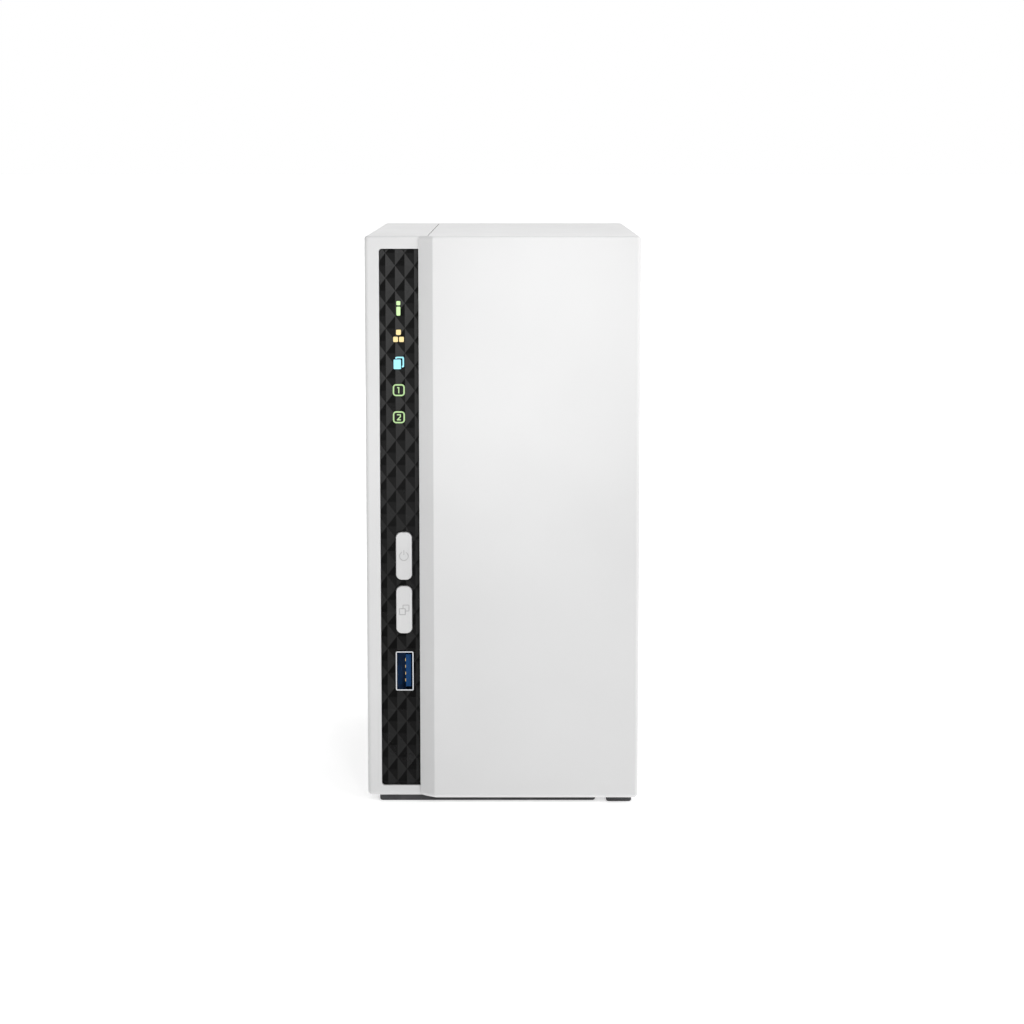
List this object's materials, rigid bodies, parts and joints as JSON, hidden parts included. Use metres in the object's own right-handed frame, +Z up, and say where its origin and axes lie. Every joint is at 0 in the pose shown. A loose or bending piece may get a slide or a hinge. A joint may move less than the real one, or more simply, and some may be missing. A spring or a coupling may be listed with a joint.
{
  "type": "network attached storage",
  "caption": "Free-standing desktop network storage unit: white split shell, recessed black bezel strip with lit icons, buttons and a USB socket, upright drives and a rear fan inside.",
  "frame": {"origin": "centre of the footprint, on the surface that the feet stand on", "axes": "+Z up, front faces -Y, +X to the right seen from the front"},
  "size_m": [0.0902, 0.1562, 0.1886],
  "materials": {
    "white_shell": "fine matt texture, white ABS",
    "bezel_black": "glossy black with diamond relief",
    "guide_green": "lit translucent green",
    "guide_amber": "lit translucent amber",
    "guide_blue": "lit translucent light blue",
    "key_white": "satin off-white",
    "foot_rubber": "matt dark grey rubber",
    "panel_steel": "light grey painted steel",
    "cage_steel": "zinc-plated sheet",
    "screw_steel": "zinc-plated",
    "board_green": "solder mask",
    "chip_black": "moulded epoxy",
    "heatsink_metal": "anodised",
    "can_metal": "sleeved aluminium can",
    "ferrite_grey": "pressed ferrite",
    "cell_steel": "stainless",
    "connector_black": "moulded nylon",
    "led_epoxy": "clear epoxy",
    "port_shell": "nickel-plated sheet",
    "usb_blue": "moulded blue insert",
    "contact_gold": "gold-plated",
    "drive_cast": "cast, lightly textured",
    "drive_lid_steel": "brushed stainless",
    "fan_black": "glass-filled plastic",
    "bush_bronze": "sintered bronze",
    "winding_copper": "enamelled copper",
    "lead_sleeve": "soft sleeve"
  },
  "bodies": {
    "housing": {"backplane": "board_green", "backplane_connector": "connector_black", "base_feet": "foot_rubber", "base_housing": "white_shell", "buzzer": "connector_black", "capacitors": "can_metal", "chassis_screws": "screw_steel", "coin_cell": "cell_steel", "coin_cell_holder": "connector_black", "copy_light_guide": "guide_blue", "cover_screws": "screw_steel", "drive_1_board": "board_green", "drive_1_body": "drive_cast", "drive_1_lid": "drive_lid_steel", "drive_1_light_guide": "guide_green", "drive_2_board": "board_green", "drive_2_body": "drive_cast", "drive_2_lid": "drive_lid_steel", "drive_2_light_guide": "guide_green", "drive_cage": "cage_steel", "drive_lid_screws": "screw_steel", "drive_screws": "screw_steel", "drive_sockets": "connector_black", "ethernet_contacts": "contact_gold", "ethernet_jack": "port_shell", "fan_bearing": "bush_bronze", "fan_cable": "lead_sleeve", "fan_connector": "connector_black", "fan_frame": "fan_black", "fan_screws": "screw_steel", "fan_stator": "winding_copper", "front_bezel": "bezel_black", "front_switches": "connector_black", "front_usb_shell": "port_shell", "front_usb_tongue": "usb_blue", "icon_masks": "bezel_black", "indicator_leds": "led_epoxy", "inductors": "ferrite_grey", "mainboard": "board_green", "memory_chips": "chip_black", "network_light_guide": "guide_amber", "power_jack": "connector_black", "power_jack_pin": "contact_gold", "processor": "chip_black", "processor_heatsink": "heatsink_metal", "rear_panel": "panel_steel", "rear_usb_shells": "port_shell", "rear_usb_tongues": "usb_blue", "reset_switch": "connector_black", "status_light_guide": "guide_green", "usb_contacts": "contact_gold"},
    "cover": {"slide_cover": "white_shell", "cover_feet": "foot_rubber"},
    "power_key": {"power_button": "key_white", "power_switch_stem": "connector_black"},
    "copy_key": {"copy_button": "key_white", "copy_switch_stem": "connector_black"},
    "reset_pin": {"reset_button": "connector_black"},
    "fan_wheel": {"fan_rotor": "fan_black", "fan_shaft": "screw_steel"}
  },
  "joints": [
    {"name": "cover_slide", "type": "slide", "parent": "housing", "child": "cover", "axis": [0, -1, 0], "range_m": [0, 0.165]},
    {"name": "power_button_press", "type": "slide", "parent": "housing", "child": "power_key", "axis": [0, 1, 0], "range_m": [0, 0.0006], "stiffness_N_per_m": 800},
    {"name": "copy_button_press", "type": "slide", "parent": "housing", "child": "copy_key", "axis": [0, 1, 0], "range_m": [0, 0.0006], "stiffness_N_per_m": 800},
    {"name": "reset_button_press", "type": "slide", "parent": "housing", "child": "reset_pin", "axis": [0, -1, 0], "range_m": [0, 0.0004], "stiffness_N_per_m": 800},
    {"name": "fan_spin", "type": "hinge", "parent": "housing", "child": "fan_wheel", "pos_m": [0.005, 0.062, 0.128], "axis": [0, 1, 0], "continuous": true}
  ]
}
